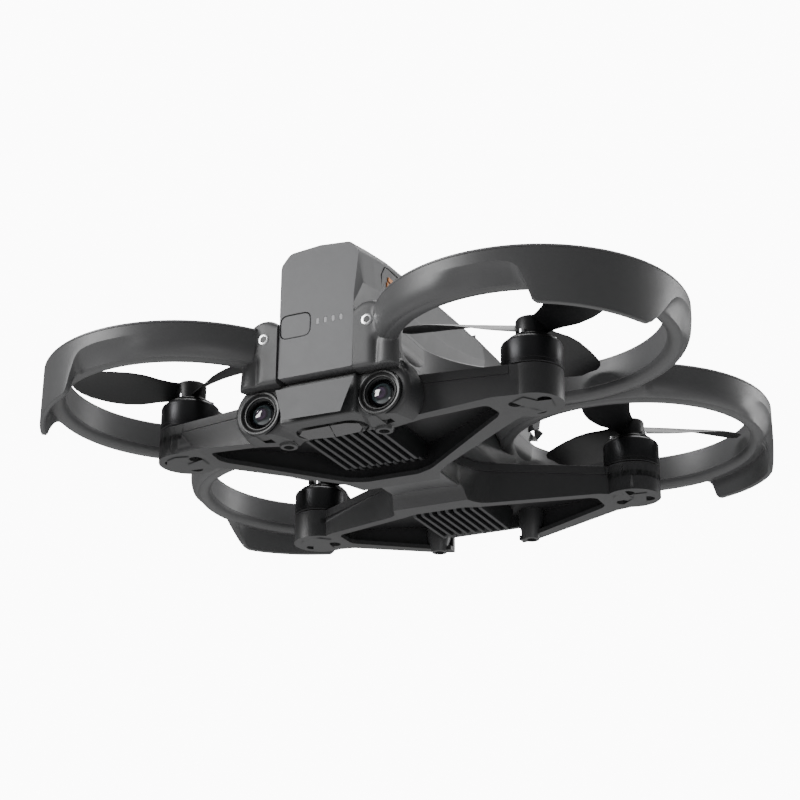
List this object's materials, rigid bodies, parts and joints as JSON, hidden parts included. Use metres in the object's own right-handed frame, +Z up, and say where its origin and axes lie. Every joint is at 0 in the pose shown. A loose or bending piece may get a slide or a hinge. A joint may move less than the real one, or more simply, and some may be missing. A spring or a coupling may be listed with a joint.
{
  "type": "fpv racing drone",
  "caption": "Compact ducted quadcopter with guard rings, slide-in battery pack, flanged lower frame with a finned cooler, rear vision sensors and a tilting nose camera.",
  "frame": {"origin": "on the ground below the middle of the craft, level with the underside of the four feet", "axes": "+X towards the craft's right side, +Y forward (camera end), +Z up"},
  "size_m": [0.212, 0.1844, 0.064],
  "materials": {
    "frame_dark": "satin",
    "shell_grey": "satin",
    "duct_grey": "satin",
    "duct_edge": "satin",
    "battery_grey": "fine matte",
    "plate_grey": "matte",
    "sink_dark": "anodised",
    "black_gloss": "gloss",
    "bell_black": "satin",
    "steel": "brushed",
    "screw_black": "black oxide",
    "winding": "enamelled wire",
    "board_green": "solder mask",
    "board_blue": "solder mask",
    "cell_blue": "wrapped pouch",
    "led_white": "translucent",
    "lens_glass": "coated glass",
    "ir_window": "infrared window"
  },
  "bodies": {
    "airframe": {"lower_frame": "frame_dark", "deck_plate": "frame_dark", "body_tub": "shell_grey", "waist_panel": "frame_dark", "heat_sink": "sink_dark", "duct_rim_right": "duct_grey", "duct_rim_left": "duct_grey", "duct_cap_right": "duct_edge", "duct_cap_left": "duct_edge", "rear_housing": "frame_dark", "rear_plate": "plate_grey", "ear_screws": "steel", "pad_screws": "screw_black", "foot_screws": "screw_black", "sensor_barrel_right": "black_gloss", "sensor_barrel_left": "black_gloss", "sensor_lens_right": "lens_glass", "sensor_lens_left": "lens_glass", "window_rim": "frame_dark", "window_sender": "ir_window", "window_receiver": "ir_window", "motor_base_rear_right": "winding", "motor_base_rear_left": "winding", "motor_base_front_right": "winding", "motor_base_front_left": "winding", "main_board": "board_green", "speed_controller": "board_blue", "battery_socket": "black_gloss", "hood": "shell_grey", "tilt_motor": "bell_black"},
    "rotor_rear_right": {"motor_bell_rear_right": "bell_black", "motor_shaft_rear_right": "steel", "propeller_rear_right": "black_gloss", "prop_screws_rear_right": "steel"},
    "rotor_rear_left": {"motor_bell_rear_left": "bell_black", "motor_shaft_rear_left": "steel", "propeller_rear_left": "black_gloss", "prop_screws_rear_left": "steel"},
    "rotor_front_right": {"motor_bell_front_right": "bell_black", "motor_shaft_front_right": "steel", "propeller_front_right": "black_gloss", "prop_screws_front_right": "steel"},
    "rotor_front_left": {"motor_bell_front_left": "bell_black", "motor_shaft_front_left": "steel", "propeller_front_left": "black_gloss", "prop_screws_front_left": "steel"},
    "battery": {"battery_case": "battery_grey", "battery_cells": "cell_blue", "battery_board": "board_green", "battery_plug": "black_gloss", "charge_leds": "led_white"},
    "power_key": {"power_button": "battery_grey"},
    "latch_key_right": {"latch_right": "frame_dark"},
    "latch_key_left": {"latch_left": "frame_dark"},
    "camera": {"camera_head": "frame_dark", "camera_lens": "black_gloss", "camera_glass": "lens_glass"}
  },
  "joints": [
    {"name": "spin_rear_right", "type": "hinge", "parent": "airframe", "child": "rotor_rear_right", "pos_m": [0.0588, -0.045, 0.02], "axis": [0, 0, 1], "continuous": true},
    {"name": "spin_rear_left", "type": "hinge", "parent": "airframe", "child": "rotor_rear_left", "pos_m": [-0.0588, -0.045, 0.02], "axis": [0, 0, 1], "continuous": true},
    {"name": "spin_front_right", "type": "hinge", "parent": "airframe", "child": "rotor_front_right", "pos_m": [0.0588, 0.045, 0.02], "axis": [0, 0, 1], "continuous": true},
    {"name": "spin_front_left", "type": "hinge", "parent": "airframe", "child": "rotor_front_left", "pos_m": [-0.0588, 0.045, 0.02], "axis": [0, 0, 1], "continuous": true},
    {"name": "camera_tilt", "type": "hinge", "parent": "airframe", "child": "camera", "pos_m": [0, 0.06888, 0.051], "axis": [1, 0, 0], "range_deg": [-95, 90]},
    {"name": "battery_slide", "type": "slide", "parent": "airframe", "child": "battery", "axis": [0, -1, 0], "range_m": [0, 0.1]},
    {"name": "power_press", "type": "slide", "parent": "battery", "child": "power_key", "axis": [0, 1, 0], "range_m": [0, 0.0005], "stiffness_N_per_m": 400},
    {"name": "latch_press_right", "type": "slide", "parent": "battery", "child": "latch_key_right", "axis": [-1, 0, 0], "range_m": [0, 0.0009], "stiffness_N_per_m": 400},
    {"name": "latch_press_left", "type": "slide", "parent": "battery", "child": "latch_key_left", "axis": [1, 0, 0], "range_m": [0, 0.0009], "stiffness_N_per_m": 400}
  ]
}
